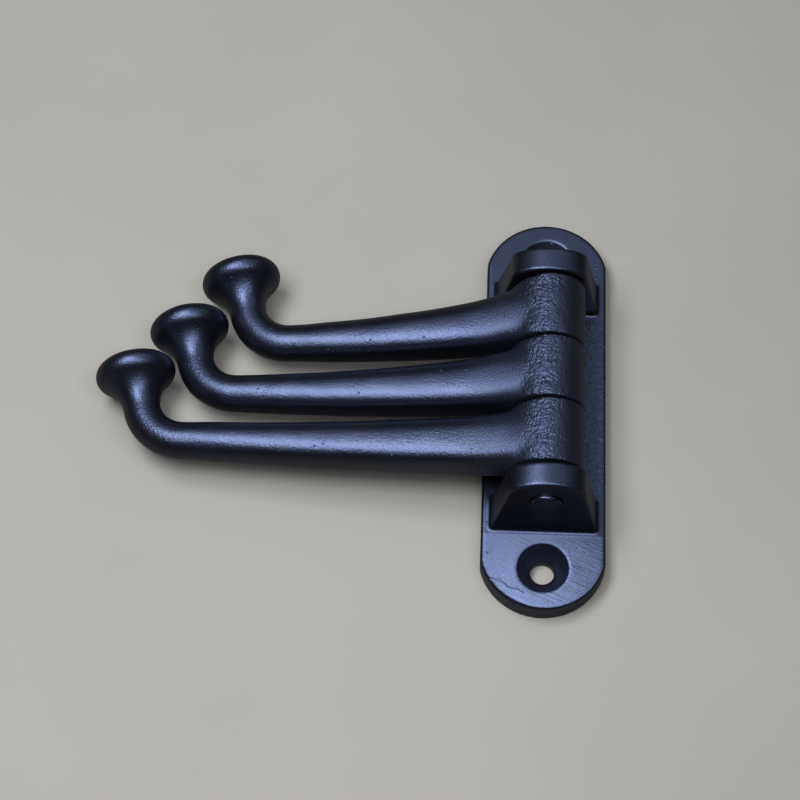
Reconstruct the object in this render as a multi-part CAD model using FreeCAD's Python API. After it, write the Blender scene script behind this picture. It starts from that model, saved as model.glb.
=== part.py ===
import FreeCAD, Part
import math
import os

# Folding wall hook: three cast-iron arms swing on one pin, held between the two lugs of a wall plate.
# Millimetres. X runs right along the wall, Z up it, and the hook stands out from the wall towards -Y.
# The origin is the centre of the plate's back face, which lies on the wall, Y = 0.
# The arms are modelled folded to the left, with the rims of their knobs against the wall.

# Wall plate: a flat bar with arched ends, which runs on past the lugs by its tails
plate_width = 25.4
plate_thickness = 5.2
plate_tail = 16.0
plate_end_rise = 9.8
plate_edge_round = 0.6

# Countersunk screw holes, one above the lugs and one below
screw_hole_from_end = 9.0
screw_hole_diameter = 4.9
countersink_diameter = 10.6
countersink_angle = 90.0

# Hinge pin, fixed in the lugs and standing a little proud of their outer faces
pin_diameter = 6.4
pin_axis_from_wall = 17.0
pin_proud = 0.55
pin_end_chamfer = 0.35
pin_lug_clearance = 0.02
pin_barrel_clearance = 0.06

# Three barrels stacked on the pin
barrel_diameter = 15.2
barrel_height = 13.9
barrel_gap = 0.3
barrel_edge_round = 0.4
stack_middle_height = 1.1

# Lugs: flanks lean in from the foot to rounded shoulders as wide as the barrels, under a crowned top that is
# level with them, with draft on the outer face
lug_gap = 0.55
lug_foot_inset = 1.8
lug_crown_rise = 3.0
lug_shoulder_round = 4.0
lug_foot_thickness = 6.8
lug_top_thickness = 5.2
lug_edge_round = 0.4
lug_foot_fillet = 0.6

# Arms: a full root, squarer below than above, that spreads to its barrel and tapers to a round gooseneck
upper_arm_reach = 54.4
upper_arm_drop = 4.1
upper_arm_end_slope = 0.0
middle_arm_drop = 1.9
middle_arm_end_slope = 2.0
lower_arm_drop = -1.3
lower_arm_end_slope = 3.3
arm_root_height = 12.6
arm_root_thickness = 10.8
arm_root_shoulder = 0.5
arm_root_spread_length = 4.0
arm_root_skin = 0.25
arm_root_swell_length = 7.0
arm_upper_fullness = 0.05
arm_lower_fullness = 0.9
arm_tip_diameter = 7.8
arm_taper_power = 1.1
bend_radius = 9.6
neck_lean = 14.0

# Knobs: the neck flares like a trumpet to a thick rounded rim under a shallow dome
knob_diameter = 16.8
knob_flare_start_angle = 2.0
knob_rim_from_bend = 8.3
knob_rim_round = 2.6
knob_rim_edge_angle = 55.0
knob_dome_rise = 2.0

# Clearances of a swinging arm
knob_pass_clearance = 0.4
barrel_pass_clearance = 0.35
wall_clearance = 0.1

Vector = FreeCAD.Vector
UP = Vector(0, 0, 1)
RIGHT = Vector(1, 0, 0)
TO_WALL = Vector(0, 1, 0)
NO_SHIFT = Vector(0, 0, 0)

barrel_radius = barrel_diameter / 2
barrel_pitch = barrel_height + barrel_gap
stack_half_height = 1.5 * barrel_height + barrel_gap + lug_gap
plate_length = 2 * (stack_half_height + lug_foot_thickness + plate_tail)
pin_axis = Vector(0, -pin_axis_from_wall, stack_middle_height)
tip_radius = arm_tip_diameter / 2
knob_radius = knob_diameter / 2
lug_foot_width = plate_width - 2 * lug_foot_inset
lug_top_from_wall = pin_axis_from_wall + barrel_radius


def loop(*curves):
    """A closed wire of curves that meet end to end."""
    return Part.Wire([curve.toShape() for curve in curves])


def edges_of(shape, wanted):
    """The edges of a shape whose bounding box passes a test."""
    return [edge for edge in shape.Edges if wanted(edge.BoundBox)]


def flat_at(low, high, place):
    """Whether a box's extent along one axis is a single given place."""
    tolerance = 1e-4
    return abs(low - place) < tolerance and abs(high - place) < tolerance


def make_plate():
    """The bar with arched ends, its front edge rounded."""
    side = plate_width / 2
    corner = plate_length / 2 - plate_end_rise
    tip = plate_length / 2
    outline = loop(
        Part.LineSegment(Vector(side, 0, -corner), Vector(side, 0, corner)),
        Part.Arc(Vector(side, 0, corner), Vector(0, 0, tip), Vector(-side, 0, corner)),
        Part.LineSegment(Vector(-side, 0, corner), Vector(-side, 0, -corner)),
        Part.Arc(Vector(-side, 0, -corner), Vector(0, 0, -tip), Vector(side, 0, -corner)),
    )
    plate = Part.Face(outline).extrude(TO_WALL * -plate_thickness)
    front = edges_of(plate, lambda box: flat_at(box.YMin, box.YMax, -plate_thickness))
    return plate.makeFillet(plate_edge_round, front)


def lug_thickness_at(from_wall):
    """The lug's thickness at a distance from the wall, which its draft changes from foot to top."""
    share = (from_wall - plate_thickness) / (lug_top_from_wall - plate_thickness)
    return lug_foot_thickness + (lug_top_thickness - lug_foot_thickness) * share


def make_lug():
    """The upper lug, its inner face square to the pin and its outer face drafted from foot to top."""
    foot = lug_foot_width / 2
    shoulder_from_wall = lug_top_from_wall - lug_crown_rise
    inner = stack_middle_height + stack_half_height
    sunk = plate_thickness / 2
    # The flank's line carries on into the plate, so that the foot has its width at the plate's face.
    flare = (foot - barrel_radius) / (shoulder_from_wall - plate_thickness)
    root = foot + flare * (plate_thickness - sunk)
    root_right = Vector(root, -sunk, inner)
    root_left = Vector(-root, -sunk, inner)
    shoulder_right = Vector(barrel_radius, -shoulder_from_wall, inner)
    shoulder_left = Vector(-barrel_radius, -shoulder_from_wall, inner)
    outline = loop(
        Part.LineSegment(root_right, shoulder_right),
        Part.Arc(shoulder_right, Vector(0, -lug_top_from_wall, inner), shoulder_left),
        Part.LineSegment(shoulder_left, root_left),
        Part.LineSegment(root_left, root_right),
    )
    root_thickness = lug_thickness_at(sunk)
    thickest = max(root_thickness, lug_top_thickness)
    block = Part.Face(outline).extrude(UP * thickest)
    # The draft takes off all that lies outside the leaning outer face.
    spare = lug_foot_width
    draft_profile = Part.makePolygon([
        Vector(-spare, -sunk, inner + root_thickness),
        Vector(-spare, -lug_top_from_wall, inner + lug_top_thickness),
        Vector(-spare, -lug_top_from_wall, inner + 2 * thickest),
        Vector(-spare, -sunk, inner + 2 * thickest),
        Vector(-spare, -sunk, inner + root_thickness),
    ])
    lug = block.cut(Part.Face(draft_profile).extrude(RIGHT * (2 * spare)))

    def through_lug(box):
        return box.YMin < -plate_thickness and box.XLength < 1e-4 and box.YLength < 1e-4

    lug = lug.makeFillet(lug_shoulder_round, edges_of(lug, through_lug))
    rims = edges_of(lug, lambda box: box.YMin < -plate_thickness and not through_lug(box))
    return lug.makeFillet(lug_edge_round, rims)


def screw_hole(height):
    """The hole and its countersink, cut from the plate's front face."""
    front = Vector(0, -plate_thickness, height)
    hole = Part.makeCylinder(screw_hole_diameter / 2, plate_thickness, front, TO_WALL)
    sink = (countersink_diameter - screw_hole_diameter) / 2
    depth = sink / math.tan(math.radians(countersink_angle / 2))
    cone = Part.makeCone(countersink_diameter / 2, screw_hole_diameter / 2, depth, front, TO_WALL)
    return hole.fuse(cone)


def make_backplate():
    """The wall plate and its two lugs, one casting, bored for the pin and the screws."""
    upper_lug = make_lug()
    lower_lug = upper_lug.mirror(pin_axis, UP)
    casting = make_plate().multiFuse([upper_lug, lower_lug]).removeSplitter()
    side = plate_width / 2 - plate_edge_round
    tip = plate_length / 2 - plate_end_rise

    def at_foot(box):
        on_face = flat_at(box.YMin, box.YMax, -plate_thickness)
        return on_face and max(box.XMax, -box.XMin) < side - 1e-4 and max(box.ZMax, -box.ZMin) < tip

    # The fillet has only the strip of flat face beside the foot to run out on.
    fillet = min(lug_foot_fillet, 0.8 * (lug_foot_inset - plate_edge_round))
    casting = casting.makeFillet(fillet, edges_of(casting, at_foot))
    bore_radius = pin_diameter / 2 + pin_lug_clearance
    bore = Part.makeCylinder(bore_radius, plate_length, pin_axis - UP * (plate_length / 2), UP)
    casting = casting.cut(bore)
    hole_height = plate_length / 2 - screw_hole_from_end
    for height in (-hole_height, hole_height):
        casting = casting.cut(screw_hole(height))
    return casting


def make_pin():
    """The pin, through both lugs, with its ends chamfered."""
    half = stack_half_height + lug_thickness_at(pin_axis_from_wall) + pin_proud
    pin = Part.makeCylinder(pin_diameter / 2, 2 * half, pin_axis - UP * half, UP)
    ends = edges_of(pin, lambda box: box.ZMax - box.ZMin < 1e-4)
    return pin.makeChamfer(pin_end_chamfer, ends)


# An arm is drawn in its own plane: X out from the pin axis, Z up it, and Z = 0 at the middle of its barrel.

def arm_height(reach, drop, end_slope, out):
    """Height of the arm's middle line, a parabola from the barrel that ends at its drop and slope."""
    share = out / reach
    rise = math.tan(math.radians(end_slope)) * reach
    return -drop * (2 * share - share ** 2) + rise * (share ** 2 - share)


def arm_slope(reach, drop, end_slope, out):
    """Direction of the middle line, in degrees above level."""
    share = out / reach
    rise = math.tan(math.radians(end_slope)) * reach
    return math.degrees(math.atan((-drop * (2 - 2 * share) + rise * (2 * share - 1)) / reach))


def placed_section(curve, middle, slope):
    """The wire of a section's curve, square to the middle line, with the curve's X up and its Y to the side."""
    along = Vector(math.cos(math.radians(slope)), 0, math.sin(math.radians(slope)))
    across = Vector(-along.z, 0, along.x)
    wire = Part.Wire(curve.toShape())
    wire.Placement = FreeCAD.Placement(middle, FreeCAD.Rotation(across, along.cross(across), along, "ZXY"))
    return wire


def round_curve():
    """The round section of the gooseneck."""
    return Part.Circle(NO_SHIFT, UP, tip_radius)


def full_curve(top, bottom, side, squareness):
    """The section of the tapering bar: an oval whose corners fill out with squareness, the lower ones most."""
    points = []
    count = 24
    for step in range(count):
        turn = 2 * math.pi * step / count
        above = math.cos(turn)
        beside = math.sin(turn)
        half_height = top if above > 0 else bottom
        fullness = arm_upper_fullness if above > 0 else arm_lower_fullness
        power = 1 / (1 + fullness * squareness)
        up = math.copysign(half_height * abs(above) ** power, above)
        out = math.copysign(side * abs(beside) ** power, beside)
        points.append(Vector(up, out, 0))
    curve = Part.BSplineCurve()
    curve.interpolate(Points=points, PeriodicFlag=True)
    return curve


def make_taper(reach, drop, end_slope):
    """The tapering bar from the pin axis to the start of the bend."""
    root_half_height = barrel_height / 2 - arm_root_shoulder
    root_side = barrel_radius - arm_root_skin
    steps = 16
    sections = []
    for step in range(steps):
        share = step / steps
        out = reach * share
        root_share = (1 - share) ** arm_taper_power
        height = arm_height(reach, drop, end_slope, out)
        half_height = tip_radius + (arm_root_height / 2 - tip_radius) * root_share
        side = tip_radius + (arm_root_thickness / 2 - tip_radius) * root_share
        # The root spreads to its barrel's height and swells to the barrel's front, and both die away outwards.
        spread = math.exp(-max(out - barrel_radius, 0) / arm_root_spread_length) * (1 - share)
        swell = math.exp(-(out / arm_root_swell_length) ** 2) * (1 - share)
        top = half_height + (root_half_height - height - half_height) * spread
        bottom = half_height + (root_half_height + height - half_height) * spread
        side += (root_side - side) * swell
        curve = full_curve(top, bottom, side, root_share)
        sections.append(placed_section(curve, Vector(out, 0, height), arm_slope(reach, drop, end_slope, out)))
    sections.append(placed_section(round_curve(), Vector(reach, 0, -drop), end_slope))
    return Part.makeLoft(sections, True, False)


def make_bend(start, end_slope):
    """The gooseneck's round bend, from the arm's slope to the neck's lean."""
    slope = math.radians(end_slope)
    middle = start + Vector(-math.sin(slope), 0, math.cos(slope)) * bend_radius
    section = Part.Face(placed_section(round_curve(), start, end_slope))
    return section.revolve(middle, Vector(0, -1, 0), 90 - neck_lean - end_slope)


def make_knob():
    """The neck and knob, turned about Z from the end of the bend."""
    edge = math.radians(knob_rim_edge_angle)
    rim_low = knob_rim_from_bend - knob_rim_round * math.sin(edge)
    rim_high = knob_rim_from_bend + knob_rim_round * math.sin(edge)
    rim_inset = knob_rim_round * (1 - math.cos(edge))
    neck = Vector(tip_radius, 0, 0)
    under_rim = Vector(knob_radius - rim_inset, 0, rim_low)
    # The flare is an arc that leaves the neck at its start angle and ends under the rim.
    chord = under_rim - neck
    half_turn = math.atan2(chord.x, chord.z) - math.radians(knob_flare_start_angle)
    sagitta = chord.Length / 2 * math.tan(half_turn / 2)
    inward = Vector(-chord.z, 0, chord.x).normalize()
    flare_middle = neck + chord * 0.5 + inward * sagitta
    rim = Vector(knob_radius, 0, knob_rim_from_bend)
    over_rim = Vector(knob_radius - rim_inset, 0, rim_high)
    crown = Vector(0, 0, rim_high + knob_dome_rise)
    dome_radius = ((knob_radius - rim_inset) ** 2 + knob_dome_rise ** 2) / (2 * knob_dome_rise)
    dome_out = over_rim.x / 2
    dome_sink = dome_radius - math.sqrt(dome_radius ** 2 - dome_out ** 2)
    profile = loop(
        Part.LineSegment(NO_SHIFT, neck),
        Part.Arc(neck, flare_middle, under_rim),
        Part.Arc(under_rim, rim, over_rim),
        Part.Arc(over_rim, Vector(dome_out, 0, crown.z - dome_sink), crown),
        Part.LineSegment(crown, NO_SHIFT),
    )
    return Part.Face(profile).revolve(NO_SHIFT, UP, 360)


def bend_end_from_middle():
    """The end of the bend, seen from the bend's centre."""
    lean = math.radians(neck_lean)
    return Vector(math.cos(lean), 0, -math.sin(lean)) * bend_radius


def along_neck(distance):
    """A step along the leaning neck."""
    lean = math.radians(neck_lean)
    return Vector(math.sin(lean), 0, math.cos(lean)) * distance


def bend_middle(reach, drop, end_slope):
    """The centre of an arm's bend."""
    slope = math.radians(end_slope)
    return Vector(reach - math.sin(slope) * bend_radius, 0, -drop + math.cos(slope) * bend_radius)


def reach_past(previous_middle, drop, end_slope):
    """The reach at which the knob's rounded rim just passes the bend of the arm above."""
    lean = math.radians(neck_lean)
    inner_rim = bend_end_from_middle() + along_neck(knob_rim_from_bend)
    inner_rim += Vector(-math.cos(lean), 0, math.sin(lean)) * (knob_radius - knob_rim_round)
    middle = bend_middle(0, drop, end_slope)
    below = previous_middle.z + barrel_pitch - middle.z - inner_rim.z
    pass_radius = bend_radius + tip_radius + knob_pass_clearance + knob_rim_round
    clear = math.sqrt(pass_radius ** 2 - below ** 2)
    return previous_middle.x + clear - inner_rim.x - middle.x


def folded_swing(reach, drop, end_slope):
    """The swing from straight out to the left, in degrees, that brings the knob's rim to the wall."""
    rim_out = (bend_middle(reach, drop, end_slope) + bend_end_from_middle() + along_neck(knob_rim_from_bend)).x
    room = pin_axis_from_wall - wall_clearance
    reach_to_rim = math.hypot(rim_out, knob_radius)
    return math.degrees(math.asin(room / reach_to_rim) - math.atan2(knob_radius, rim_out))


def make_arm(reach, drop, end_slope, barrel_middle):
    """One arm: barrel, taper, bend and knob in one casting, folded against the wall."""
    barrel = Part.makeCylinder(barrel_radius, barrel_height, UP * (-barrel_height / 2), UP)
    barrel_ends = edges_of(barrel, lambda box: box.ZMax - box.ZMin < 1e-4)
    barrel = barrel.makeFillet(barrel_edge_round, barrel_ends)
    start = Vector(reach, 0, -drop)
    taper = make_taper(reach, drop, end_slope)
    # The root stays clear of the barrels above and below, which turn past it.
    ring_radius = barrel_radius + barrel_pass_clearance
    for ring_foot in (barrel_height / 2, -barrel_height / 2 - barrel_pitch):
        taper = taper.cut(Part.makeCylinder(ring_radius, barrel_pitch, UP * ring_foot, UP))
    bend = make_bend(start, end_slope)
    knob = make_knob()
    knob.Placement = FreeCAD.Placement(
        bend_middle(reach, drop, end_slope) + bend_end_from_middle(),
        FreeCAD.Rotation(Vector(0, 1, 0), neck_lean),
    )
    arm = barrel.multiFuse([taper, bend, knob]).removeSplitter()
    bore_radius = pin_diameter / 2 + pin_barrel_clearance
    arm = arm.cut(Part.makeCylinder(bore_radius, 2 * barrel_height, UP * -barrel_height, UP))
    arm.rotate(NO_SHIFT, UP, 180 - folded_swing(reach, drop, end_slope))
    arm.translate(Vector(pin_axis.x, pin_axis.y, barrel_middle))
    return arm


def make_arms():
    """The three arms, each longer than the one above, so that every knob passes the neck over it."""
    shapes = {}
    bend_above = None
    levels = (
        ("upper_arm", 1, upper_arm_drop, upper_arm_end_slope),
        ("middle_arm", 0, middle_arm_drop, middle_arm_end_slope),
        ("lower_arm", -1, lower_arm_drop, lower_arm_end_slope),
    )
    for name, level, drop, end_slope in levels:
        reach = reach_past(bend_above, drop, end_slope) if bend_above else upper_arm_reach
        bend_above = bend_middle(reach, drop, end_slope)
        shapes[name] = make_arm(reach, drop, end_slope, pin_axis.z + level * barrel_pitch)
        print(name, "reach", round(reach, 2), "folded swing", round(folded_swing(reach, drop, end_slope), 3))
    return shapes


def main():
    os.makedirs("parts", exist_ok=True)
    shapes = {"backplate": make_backplate(), "hinge_pin": make_pin()}
    shapes.update(make_arms())
    for name, shape in shapes.items():
        print(name, "valid", shape.isValid(), "solids", len(shape.Solids), "volume", round(shape.Volume, 1))
        shape.exportStep("parts/" + name + ".step")


main()
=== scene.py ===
# %% [markdown]
# # A folding wall hook in black cast iron
#
# Three cast arms swing on one pin between the two lugs of a wall plate. The measured solids of the plate,
# the pin and the arms come ready from the frame, so no size is guessed here. The camera and the light are
# set first. Then each solid is copied, given the skin of an iron casting and painted.

# %% Load the measured frame
import math

import bpy
import numpy as np
from mathutils import Matrix, Vector


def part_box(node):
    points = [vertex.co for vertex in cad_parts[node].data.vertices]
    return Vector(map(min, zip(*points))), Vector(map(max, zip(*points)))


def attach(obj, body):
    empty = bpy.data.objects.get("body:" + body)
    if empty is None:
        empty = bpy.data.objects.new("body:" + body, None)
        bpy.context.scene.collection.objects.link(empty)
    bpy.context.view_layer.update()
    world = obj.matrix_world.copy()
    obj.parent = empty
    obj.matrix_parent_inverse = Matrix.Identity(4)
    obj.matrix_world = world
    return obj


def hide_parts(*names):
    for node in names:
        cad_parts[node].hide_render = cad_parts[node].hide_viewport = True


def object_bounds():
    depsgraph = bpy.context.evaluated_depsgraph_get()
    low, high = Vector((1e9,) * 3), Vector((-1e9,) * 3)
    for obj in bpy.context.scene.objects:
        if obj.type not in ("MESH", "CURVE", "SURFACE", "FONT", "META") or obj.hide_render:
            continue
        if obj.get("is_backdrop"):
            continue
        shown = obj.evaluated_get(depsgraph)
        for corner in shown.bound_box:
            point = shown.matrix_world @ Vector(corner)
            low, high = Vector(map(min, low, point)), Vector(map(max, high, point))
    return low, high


MM = 0.001
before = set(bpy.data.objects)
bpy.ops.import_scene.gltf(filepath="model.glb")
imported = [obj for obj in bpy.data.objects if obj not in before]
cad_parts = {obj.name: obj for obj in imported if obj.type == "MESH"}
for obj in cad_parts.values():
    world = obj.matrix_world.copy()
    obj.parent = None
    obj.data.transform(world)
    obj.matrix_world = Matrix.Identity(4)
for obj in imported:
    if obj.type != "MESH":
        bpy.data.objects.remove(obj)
solid_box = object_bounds()
print("The solids span", [round(side / MM, 1) for side in solid_box[1] - solid_box[0]], "mm")

# %% [markdown]
# ## The camera
#
# The hook is seen from below its lower end, well off the wall's face, with a long lens. A camera can be
# turned by hand until the outline fits, but it is easier to keep honest when its place is worked out from
# four numbers: how far it stands off, how steeply it looks at the wall, and how it is turned and rolled.

# %% Camera
camera_distance = 487.6 * MM
camera_above_wall = math.radians(64.0)
camera_turn = math.radians(3.13)
camera_roll = math.radians(-0.96)
camera_target = Vector((-30.5, 0.0, 3.7)) * MM
camera_lens = 103.5

camera_aim = (
    Matrix.Rotation(camera_turn, 4, Vector((0, -1, 0)))
    @ Matrix.Rotation(math.pi - camera_above_wall, 4, "X")
    @ Matrix.Rotation(camera_roll, 4, "Z")
)
bpy.ops.object.camera_add()
camera = bpy.context.object
camera.name = "camera"
camera.data.lens = camera_lens
camera.data.clip_start = 10 * MM
stand = camera_target + camera_aim @ Vector((0, 0, camera_distance))
camera.matrix_world = Matrix.Translation(stand) @ camera_aim
bpy.context.scene.camera = camera
bpy.context.scene.view_settings.view_transform = "Standard"
print("The camera stands at", [round(c / MM) for c in stand], "mm")

# %% [markdown]
# ## Writing shaders as sums
#
# A shader's maths is a web of small nodes, and a web is hard to read in code. This class wraps a socket so
# that ordinary signs add the Math nodes: `1 - mask * 0.5` makes two of them. Any other node comes from
# `add_node`, which sets the node's own settings first and then links or fills its sockets.

# %% A socket that takes part in sums
class Wire:
    """An output socket of a shader node, usable in sums with numbers and other wires."""

    def __init__(self, socket):
        self.socket = socket
        self.tree = socket.id_data

    def join(self, operation, first, second):
        return add_node(self.tree, "ShaderNodeMath", {"operation": operation}, {0: first, 1: second})

    def __add__(self, other):
        return self.join("ADD", self, other)

    def __sub__(self, other):
        return self.join("SUBTRACT", self, other)

    def __rsub__(self, other):
        return self.join("SUBTRACT", other, self)

    def __mul__(self, other):
        return self.join("MULTIPLY", self, other)

    def __gt__(self, other):
        return self.join("GREATER_THAN", self, other)

    def __lt__(self, other):
        return self.join("LESS_THAN", self, other)

    __radd__ = __add__
    __rmul__ = __mul__


def feed(tree, socket, value):
    """Links a wire to an input socket, or writes a plain value there."""
    if isinstance(value, Wire):
        tree.links.new(value.socket, socket)
    else:
        socket.default_value = value


def add_node(tree, kind, settings=None, sockets=None, output=0):
    """A node of any type: its settings are set first, then its sockets, and one output comes back."""
    node = tree.nodes.new(kind)
    for name, value in (settings or {}).items():
        setattr(node, name, value)
    for name, value in (sockets or {}).items():
        feed(tree, node.inputs[name], value)
    return Wire(node.outputs[output])


print("Wires take part in sums")

# %% Ramps and new finishes
def ramp(tree, value, low, high, bottom=0.0, top=1.0):
    """A value carried smoothly from one range to another, and held at its ends."""
    limits = {"Value": value, "From Min": low, "From Max": high, "To Min": bottom, "To Max": top}
    return add_node(tree, "ShaderNodeMapRange", {"interpolation_type": "SMOOTHSTEP"}, limits)


def new_finish(name):
    """An empty material, with its node tree, its shader and the piece's own coordinates."""
    material = bpy.data.materials.new(name)
    material.use_nodes = True
    tree = material.node_tree
    shader = tree.nodes["Principled BSDF"]
    place = add_node(tree, "ShaderNodeTexCoord", output="Object")
    return material, tree, shader, place


print("The shader helpers are ready")

# %% [markdown]
# ## The wall
#
# The hook lies flat on a plain pale wall, and the wall matters: it catches the soft shadow under the arms,
# and it shows, dimly, in the flanks of the black paint. A single plane is enough for both. Its colour is
# dimmed for every ray but the camera's, a painted shade on its reflection in the paint, because at full
# strength it turns the black flanks brown. A wall is in the way when the hook is looked at from behind, so
# its shader is clear from the back, and for the short hop from the plate's back to the wall.

# %% Wall
wall_size = 4.0
wall_behind = 0.05 * MM
wall_colour = (0.42, 0.34, 0.26)
wall_roughness = 0.9
wall_in_paint = 0.35
mottle_scale = 9.0
mottle_share = 0.06
short_hop = 0.16 * MM

bpy.ops.object.select_all(action="DESELECT")
bpy.ops.mesh.primitive_plane_add(size=wall_size, location=(0, wall_behind, 0), rotation=(math.pi / 2, 0, 0))
wall = bpy.context.object
wall.name = "wall"
bpy.ops.object.transform_apply()
wall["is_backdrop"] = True

wall_material, tree, shader, place = new_finish("pale_wall")
mottle = add_node(tree, "ShaderNodeTexNoise", None, {"Vector": place, "Scale": mottle_scale, "Detail": 4.0})
seen = add_node(tree, "ShaderNodeLightPath", output="Is Camera Ray")
# painted shade: the wall's colour is darker for every ray but the camera's, so its reflection in the paint is
# dimmed
dimming = seen * (1 - wall_in_paint) + wall_in_paint
tone = ramp(tree, mottle, 0.2, 0.8, 1 - mottle_share, 1 + mottle_share) * dimming
shade = add_node(tree, "ShaderNodeVectorMath", {"operation": "SCALE"}, {0: wall_colour, "Scale": tone})
feed(tree, shader.inputs["Base Color"], shade)
shader.inputs["Roughness"].default_value = wall_roughness
shader.inputs["Specular IOR Level"].default_value = 0.0
from_behind = add_node(tree, "ShaderNodeNewGeometry", output="Backfacing")
hop = add_node(tree, "ShaderNodeLightPath", output="Ray Length")
clear = add_node(tree, "ShaderNodeBsdfTransparent")
see_through = add_node(tree, "ShaderNodeMath", {"operation": "MAXIMUM"}, {0: from_behind, 1: hop < short_hop})
mixed = add_node(tree, "ShaderNodeMixShader", None, {0: see_through, 1: Wire(shader.outputs[0]), 2: clear})
feed(tree, tree.nodes["Material Output"].inputs["Surface"], mixed)
wall.data.materials.append(wall_material)
print("The wall is", wall_size, "m wide")

# %% [markdown]
# ## The light
#
# On black paint the shape of a lamp matters more than its power, as each highlight is a small picture of it.
# A picture of a sky could light the hook, but a few soft rectangles are easier to move until each highlight
# lies where it should. A tall one on the left draws the bright lines along the necks and the arms, a broad
# one low down lights the arms and the filed end of the plate, and a weak one high on the right keeps the
# flat of the plate from going black. The fourth stands behind, for the plate's back. The light is a little
# cool, as from a window. The room is dim, and pale only where it is looked at, so that a black hook stands
# out from it on every side.

# %% Lamps
lamp_colour = (0.66, 0.80, 1.0)
lamps_off_wall = 0.45
room_colour = (0.85, 0.92, 1.0, 1.0)
room_strength = 0.025
backdrop_strength = 0.40


def soft_lamp(name, place, size, power):
    """A soft lamp, square to the wall and facing it, from the front or from behind."""
    turn = math.pi / 2 if place[1] < 0 else -math.pi / 2
    bpy.ops.object.light_add(type="AREA", location=place, rotation=(turn, 0, 0))
    lamp = bpy.context.object
    lamp.name = name
    lamp.data.shape = "RECTANGLE"
    lamp.data.size, lamp.data.size_y = size
    lamp.data.energy = power
    lamp.data.color = lamp_colour
    lamp.visible_camera = False


soft_lamp("window_lamp", place=(-0.185, -lamps_off_wall, -0.01), size=(0.17, 0.30), power=2.65)
soft_lamp("low_lamp", place=(0.05, -lamps_off_wall, -0.15), size=(0.32, 0.22), power=1.3)
soft_lamp("high_lamp", place=(0.12, -lamps_off_wall, 0.28), size=(0.60, 0.34), power=0.6)
soft_lamp("back_lamp", place=(0.0, 0.6, 0.1), size=(0.8, 0.8), power=4.0)

world = bpy.data.worlds.new("room")
bpy.context.scene.world = world
world.use_nodes = True
room = world.node_tree.nodes["Background"]
room.inputs["Color"].default_value = room_colour
looked_at = add_node(world.node_tree, "ShaderNodeLightPath", output="Is Camera Ray")
feed(world.node_tree, room.inputs["Strength"], looked_at * backdrop_strength + room_strength)
print("Four soft lamps and a dim room")

# %% [markdown]
# ## Black paint over cast iron
#
# The hook is painted satin black. The paint is thin, so the iron's skin shows through it as a fine grain,
# with a few pimples where sand broke away from the mould. Modelling them would take millions of faces. At
# this size bumps look the same, and they are all heights, so they can simply be added. The sheen varies a
# little from place to place, which keeps the long highlights on the arms from looking like plastic.

# %% Paint
paint_index = 1.84
paint_sheen_tint = (0.65, 0.68, 1.0, 1.0)
paint_roughness = 0.34
deepest_black = (0.0018, 0.0017, 0.0016, 1.0)
palest_black = (0.0042, 0.0040, 0.0038, 1.0)
cloud_size = 9 * MM
cloud_sheen = 0.10
grain_size = 0.16 * MM
grain_depth = 0.030 * MM
grain_sheen = 0.12
skin_size = 0.45 * MM
cast_skin = 0.065 * MM
pimple_spacing = 1.8 * MM
pimple_core = 0.02
pimple_edge = 0.15
pimple_depth = 0.08 * MM
bare_share = 0.55
coarse_sheen = 0.12


def noise_at(tree, place, size, detail=2.0):
    """A cloudy value about 0.5, whose features have a real size."""
    return add_node(tree, "ShaderNodeTexNoise", None, {"Vector": place, "Scale": 1 / size, "Detail": detail})


def pimples_at(tree, place):
    """1 on the pimples, which sit in some of the cells of an uneven honeycomb, and 0 elsewhere."""
    cells = {"Vector": place, "Scale": 1 / pimple_spacing}
    from_middle = add_node(tree, "ShaderNodeTexVoronoi", None, cells, "Distance")
    cell_colour = add_node(tree, "ShaderNodeTexVoronoi", None, cells, "Color")
    lot = add_node(tree, "ShaderNodeSeparateColor", None, {"Color": cell_colour}, "Red")
    return ramp(tree, from_middle, pimple_core, pimple_edge, 1.0, 0.0) * (lot > bare_share)


def black_paint(name, roughness=paint_roughness, skin_depth=cast_skin, marks=None, coarse=None):
    """Satin black paint: a fine grain, scattered pimples, an uneven sheen, and the piece's own marks."""
    material, tree, shader, place = new_finish(name)
    grain = noise_at(tree, place, grain_size, detail=3.0)
    cloud = noise_at(tree, place, cloud_size)
    skin = noise_at(tree, place, skin_size)
    relief = grain * grain_depth + skin * skin_depth + pimples_at(tree, place) * pimple_depth
    if marks:
        relief = relief + marks(tree, place)
    blend = {"Factor": cloud, "A": deepest_black, "B": palest_black}
    feed(tree, shader.inputs["Base Color"], add_node(tree, "ShaderNodeMix", {"data_type": "RGBA"}, blend, 2))
    sheen = roughness + (cloud - 0.5) * cloud_sheen + (grain - 0.5) * grain_sheen
    if coarse:
        sheen = sheen + coarse(tree, place) * coarse_sheen
    feed(tree, shader.inputs["Roughness"], sheen)
    shader.inputs["IOR"].default_value = paint_index
    shader.inputs["Specular Tint"].default_value = paint_sheen_tint
    bump = {"Height": relief, "Distance": 1.0, "Strength": 1.0}
    feed(tree, shader.inputs["Normal"], add_node(tree, "ShaderNodeBump", None, bump))
    return material


print("The paint's grain is", round(grain_size / MM, 2), "mm across")

# %% [markdown]
# ## Marks on the plate
#
# The front of the plate has marks of its own. Its lower end was dressed with a file, which left it leaning a
# little towards the tip and scored by slanting strokes and one deeper scratch, and the strip beside the
# barrels kept the lumpy skin of the mould. A painted picture could hold such marks, but heights worked out
# from the place keep their real size and add to the grain. A stroke is noise that is stretched along the
# file's path.

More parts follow.
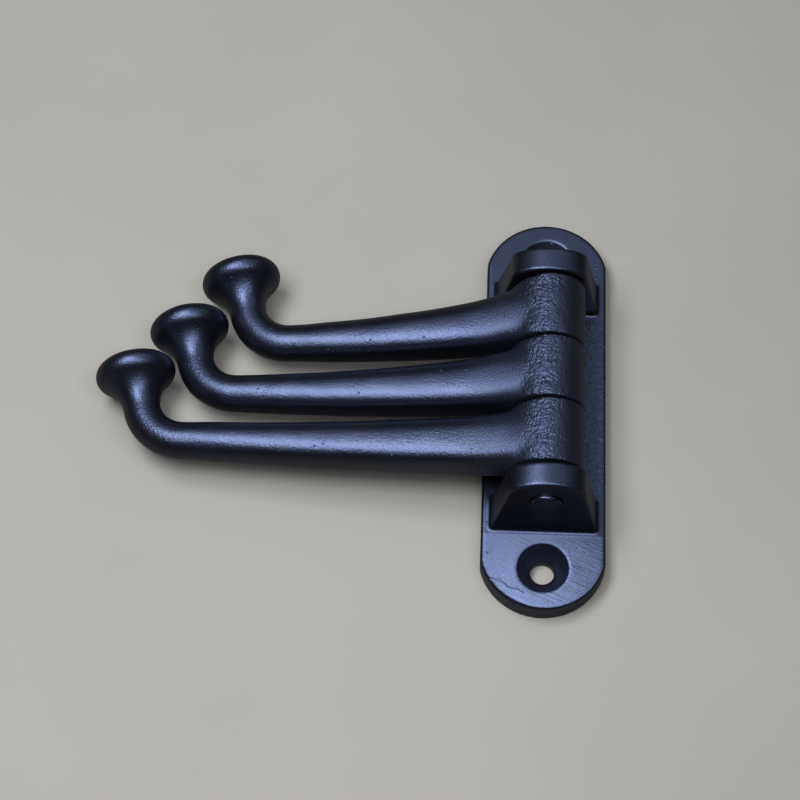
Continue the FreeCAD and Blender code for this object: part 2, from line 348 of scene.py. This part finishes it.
# %% Plate marks
plate_skin = 0.012 * MM
front_from = 4.4 * MM
file_from = -28.3 * MM
file_fade = 2 * MM
file_lean = 0.26
file_ease = 4.5
file_twist = -8.0
stroke_slant = math.radians(22)
stroke_length = 8 * MM
stroke_width = 0.7 * MM
stroke_depth = 0.06 * MM
scratch_across = -39.3 * MM
scratch_from = 3.4 * MM
scratch_to = 12 * MM
scratch_width = 0.25 * MM
scratch_depth = 0.05 * MM
wander_size = 3 * MM
wander_width = 2 * MM
lump_size = 1.3 * MM
lump_depth = 0.25 * MM
strip_from = 7.8 * MM
strip_to_height = 21 * MM
wave_size = 6 * MM
wave_depth = 0.10 * MM


def parts_of(tree, vector, axes):
    """The named parts of a vector, each as a value."""
    return [add_node(tree, "ShaderNodeSeparateXYZ", None, {"Vector": vector}, axis) for axis in axes]


def stroke_path(tree, place, slant, length, width):
    """Coordinates that run along and across slanting strokes of a real length and width."""
    turned = {"Vector": place, "Rotation": (0, slant, 0), "Scale": (length, 1, width)}
    return add_node(tree, "ShaderNodeMapping", {"vector_type": "TEXTURE"}, turned)


def plate_marks(tree, place):
    """Heights of the filed end, its strokes and scratch, the lumpy strip and a slow unevenness."""
    x, y, z = parts_of(tree, place, "XYZ")
    path = stroke_path(tree, place, stroke_slant, stroke_length, stroke_width)
    stroke = noise_at(tree, path, 1.0)
    along, across = parts_of(tree, path, "XZ")
    wander = (noise_at(tree, place, wander_size) - 0.5) * wander_width
    beside = across * stroke_width - scratch_across + wander
    off = add_node(tree, "ShaderNodeMath", {"operation": "ABSOLUTE"}, {0: beside})
    within = (along * stroke_length > scratch_from) * (along * stroke_length < scratch_to)
    scratch = ramp(tree, off, 0.0, scratch_width, 1.0, 0.0) * within
    filed = ramp(tree, z, file_from - file_fade, file_from, 1.0, 0.0)
    past = add_node(tree, "ShaderNodeMath", {"operation": "MINIMUM"}, {0: z - file_from, 1: 0.0})
    lean = past * (file_lean + past * file_ease + x * file_twist)
    strip = (x > strip_from) * (z < strip_to_height) * (z > -strip_to_height)
    lumps = noise_at(tree, place, lump_size) * lump_depth * strip
    waves = noise_at(tree, place, wave_size) * wave_depth
    front = y < -front_from
    return (lean + filed * stroke * stroke_depth - scratch * scratch_depth + lumps) * front + waves


plate_paint = black_paint("plate_paint", skin_depth=plate_skin, marks=plate_marks)
print("Paint for the plate, filed below", round(file_from / MM, 1), "mm")

# %% [markdown]
# ## Paint for the arms
#
# The arms are painted the same, with a coarser sheen near the pin, where the mould was rough. The lowest one
# was touched with the file too: short steep strokes cross the lower corner of its root. They are made as the
# plate's strokes are, and fade out on every side so that they end within the corner.

# %% Arm paint
pin_low, pin_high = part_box("hinge_pin")
pin_axis = (pin_low + pin_high) / 2
coarse_to = 9 * MM
fine_from = 22 * MM
corner_height = -17.4 * MM
corner_reach = 1.4 * MM
corner_from = -17.5 * MM
corner_to = -7.5 * MM
corner_fade_in = 3 * MM
corner_fade_out = 1 * MM
nick_slant = math.radians(62)
nick_length = 4 * MM
nick_width = 0.45 * MM
nick_depth = 0.13 * MM


def near_pin(tree, place):
    """1 at the barrels, falling to 0 out along the arms."""
    flat = {0: place, 1: (1, 1, 0), 2: (-pin_axis.x, -pin_axis.y, 0)}
    from_axis = add_node(tree, "ShaderNodeVectorMath", {"operation": "MULTIPLY_ADD"}, flat)
    out = add_node(tree, "ShaderNodeVectorMath", {"operation": "LENGTH"}, {0: from_axis}, "Value")
    return ramp(tree, out, coarse_to, fine_from, 1.0, 0.0)


def root_nicks(tree, place):
    """Heights of short file strokes across the lower corner of an arm's root."""
    x, y, z = parts_of(tree, place, "XYZ")
    path = stroke_path(tree, place, nick_slant, nick_length, nick_width)
    nick = noise_at(tree, path, 1.0, detail=1.0)
    off = add_node(tree, "ShaderNodeMath", {"operation": "ABSOLUTE"}, {0: z - corner_height})
    band = ramp(tree, off, 0.0, corner_reach, 1.0, 0.0)
    starts = ramp(tree, x, corner_from, corner_from + corner_fade_in)
    ends = ramp(tree, x, corner_to, corner_to + corner_fade_out, 1.0, 0.0)
    return nick * nick_depth * band * starts * ends * (y < pin_axis.y)


arm_paint = black_paint("arm_paint", coarse=near_pin)
lowest_arm_paint = black_paint("lowest_arm_paint", coarse=near_pin, marks=root_nicks)
print("Paint for the arms, coarse within", round(coarse_to / MM), "mm of the pin")

# %% [markdown]
# ## Copying a solid as a casting
#
# A solid from the frame has long thin triangles and knife-sharp corners. A casting has neither. A voxel
# remesh lays an even grid of small faces over a copy, a few rounds of smoothing take the stairs out of it,
# and the even grid can then be pushed in and out by a texture. Modelling each piece again from cubes would
# only guess at sizes that the solid already has right.

# %% Casting helpers
weld_within = 0.001 * MM


def only(piece):
    """Makes one object the only one selected, and the active one."""
    bpy.ops.object.select_all(action="DESELECT")
    piece.select_set(True)
    bpy.context.view_layer.objects.active = piece


def apply_modifier(piece, name, kind, **settings):
    """Adds a modifier with its settings and applies it."""
    modifier = piece.modifiers.new(name, kind)
    for setting, value in settings.items():
        setattr(modifier, setting, value)
    only(piece)
    bpy.ops.object.modifier_apply(modifier=modifier.name)


def casting_of(node, name, voxel, smoothing):
    """A copy of a solid on an even grid, with its corners softened."""
    piece = bpy.data.objects.new(name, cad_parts[node].data.copy())
    bpy.context.scene.collection.objects.link(piece)
    piece.data.name = name
    only(piece)
    bpy.ops.mesh.customdata_custom_splitnormals_clear()
    bpy.ops.object.mode_set(mode="EDIT")
    bpy.ops.mesh.select_all(action="SELECT")
    bpy.ops.mesh.remove_doubles(threshold=weld_within)
    bpy.ops.object.mode_set(mode="OBJECT")
    apply_modifier(piece, "even grid", "REMESH", mode="VOXEL", voxel_size=voxel, adaptivity=0.0)
    apply_modifier(piece, "soften", "SMOOTH", factor=0.5, iterations=smoothing)
    return piece


def finish_piece(piece, body, node, paint):
    """Smooth shading, paint, and the piece's place in the frame."""
    only(piece)
    bpy.ops.object.shade_smooth()
    piece.data.materials.clear()
    piece.data.materials.append(paint)
    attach(piece, body)
    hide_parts(node)
    print(piece.name, "has", len(piece.data.polygons), "faces")


print("The casting helpers are ready")

# %% [markdown]
# ## Rough skin on the barrels
#
# The front of each barrel kept the rough skin of the mould, in short crooked ripples. They are coarse enough
# to catch the light one by one, so they are pushed out of the mesh and not left to a bump. A Displace
# modifier does that with a texture, a vertex group holds it to the front of the barrel, and the faces there
# are divided once more to have points enough for the ripples.

# %% Where the skin is rough
skin_from = 0.9
skin_full = 0.97
rough_angle = 8
rough_spread = 31
rough_reach = 2 * MM
bend_rise = 1.3 * MM
bend_turn = 11
patch_rise = 2.9 * MM
patch_turn = 9
patch_share = 0.35


def smooth_step(values, low, high):
    """0 below the low end, 1 above the high end, and an easy curve between."""
    share = np.clip((values - low) / (high - low), 0, 1)
    return share * share * (3 - 2 * share)


def barrel_radius(node):
    """The radius of an arm's barrel, which is all of the arm on the far side of the pin."""
    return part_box(node)[1].x


def around_pin(places):
    """Distance from the pin's axis, and the angle from straight out of the wall towards the folded arms."""
    x, y = places[:, 0] - pin_axis.x, places[:, 1] - pin_axis.y
    return np.hypot(x, y), np.degrees(np.arctan2(-x, -y))


def rough_front(places):
    """How rough the mould left each place: the front of the barrel most, and the arm's root a little."""
    out, angle = around_pin(places)
    height = places[:, 2]
    radius = barrel_radius("upper_arm")
    on_barrel = smooth_step(out, skin_from * radius, skin_full * radius)
    band = np.exp(-((angle - rough_angle) / rough_spread) ** 2)
    fade = np.exp(-np.clip(out - radius, 0, None) / rough_reach)
    bends = np.sin(height / bend_rise + 2 * np.sin(angle / bend_turn))
    patches = 1 - patch_share + patch_share * bends * np.sin(height / patch_rise - angle / patch_turn)
    return on_barrel * band * fade * patches


print("The barrels have a radius of", round(barrel_radius("upper_arm") / MM, 2), "mm")

# %% Ripples
ripple_size = 0.8 * MM
ripple_depth = 0.12 * MM
rough_enough = 0.12
weight_steps = 40


def noise(name, kind, size, **settings):
    """A procedural texture whose features have a real size."""
    texture = bpy.data.textures.new(name, kind)
    texture.noise_scale = size
    for setting, value in settings.items():
        setattr(texture, setting, value)
    return texture


def points_of(piece):
    """The places of a mesh's points, as rows of X, Y and Z."""
    places = np.empty(len(piece.data.vertices) * 3)
    piece.data.vertices.foreach_get("co", places)
    return places.reshape(-1, 3)


def weigh(piece, name, weights):
    """A vertex group that holds one weight, from 0 to 1, for each point."""
    group = piece.vertex_groups.new(name=name)
    levels = np.rint(np.clip(weights, 0, 1) * weight_steps).astype(int)
    for level in range(1, weight_steps + 1):
        chosen = np.nonzero(levels == level)[0].tolist()
        if chosen:
            group.add(chosen, level / weight_steps, "REPLACE")
    return name


def divide_rough_faces(piece):
    """Divides the faces of the rough front once more."""
    middles = np.empty(len(piece.data.polygons) * 3)
    piece.data.polygons.foreach_get("center", middles)
    only(piece)
    bpy.ops.object.mode_set(mode="EDIT")
    bpy.ops.mesh.select_mode(type="FACE")
    bpy.ops.mesh.select_all(action="DESELECT")
    bpy.ops.object.mode_set(mode="OBJECT")
    piece.data.polygons.foreach_set("select", rough_front(middles.reshape(-1, 3)) > rough_enough)
    bpy.ops.object.mode_set(mode="EDIT")
    bpy.ops.mesh.subdivide(number_cuts=1)
    bpy.ops.object.mode_set(mode="OBJECT")


ripples = noise("mould ripples", "DISTORTED_NOISE", ripple_size, distortion=1.2, contrast=1.7, intensity=0.75)
print("The ripples are", round(ripple_size / MM, 1), "mm across")

# %% [markdown]
# ## The three arms
#
# Each arm is one casting: a barrel on the pin, a bar that runs out of it, and a gooseneck that ends in a
# knob. The bar grows out of the barrel without a corner. A bevel would need a clean edge to follow, and an
# even grid has none, so many rounds of smoothing take the crease away, held to the root by a vertex group.
# Slow bulges then make the whole arm a little uneven, and the ripples come last.

# %% Arms
arm_voxel = 0.26 * MM
casting_rounds = 4
root_width = 4.0 * MM
root_from_angle = 8
root_full_angle = 25
root_rounds = 110
bulge_size = 7 * MM
bulge_height = 0.16 * MM

bulges = noise("uneven casting", "CLOUDS", bulge_size, noise_depth=1)


def make_arm(node, paint):
    """One arm, from its solid to its place in the frame."""
    piece = casting_of(node, node + "_casting", arm_voxel, casting_rounds)
    out, angle = around_pin(points_of(piece))
    past_root = (out - barrel_radius(node)) / root_width
    at_root = np.exp(-(past_root ** 2)) * smooth_step(angle, root_from_angle, root_full_angle)
    root = weigh(piece, "root", at_root)
    apply_modifier(piece, "root blend", "SMOOTH", factor=0.5, iterations=root_rounds, vertex_group=root)
    apply_modifier(
        piece, "uneven", "DISPLACE", texture=bulges, texture_coords="LOCAL", mid_level=0.75,
        strength=bulge_height,
    )
    divide_rough_faces(piece)
    rough = weigh(piece, "rough", rough_front(points_of(piece)))
    apply_modifier(
        piece, "mould skin", "DISPLACE", texture=ripples, texture_coords="LOCAL", mid_level=0.8,
        strength=ripple_depth, vertex_group=rough,
    )
    finish_piece(piece, node, node, paint)


make_arm("upper_arm", arm_paint)
make_arm("middle_arm", arm_paint)
make_arm("lower_arm", lowest_arm_paint)

# %% [markdown]
# ## The wall plate
#
# The plate and its lugs are one casting too: a flat plate with round ends and two countersunk holes, and two
# lugs that stand out from it to hold the pin. The solid has all of that at its true size, so the copy needs
# only the soft corners of a casting. Its grid is a little coarser than the arms', because its marks are
# bumps and nothing is pushed out of it.

# %% Plate
plate_voxel = 0.30 * MM
plate = casting_of("backplate", "wall_plate_casting", plate_voxel, casting_rounds)
finish_piece(plate, "wall_plate", "backplate", plate_paint)

# %% [markdown]
# ## The pin
#
# The pin is a plain rod that stands a little proud of the lugs. A new cylinder would do, but a copy of the
# solid sits exactly in its holes. It is small, so its grid is the finest of all, and it is smoothed less. A
# rod is smoother than a casting, so its paint shines a little more.

# %% Pin
pin_voxel = 0.15 * MM
pin_rounds = 3
pin_roughness = 0.28
pin_paint = black_paint("pin_paint", roughness=pin_roughness)
pin = casting_of("hinge_pin", "hinge_pin_rod", pin_voxel, pin_rounds)
finish_piece(pin, "wall_plate", "hinge_pin", pin_paint)

# %% [markdown]
# ## Sizes
#
# The boxes of the dressed hook and of its solids are printed side by side. The dressed hook has
# to fit the box of its solids.

# %% Sizes
dressed_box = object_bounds()
boxes = {
    "cad": [list(corner) for corner in solid_box],
    "visual": [list(corner) for corner in dressed_box],
}
for name, box in boxes.items():
    print(name, [[round(c / MM, 2) for c in corner] for corner in box])
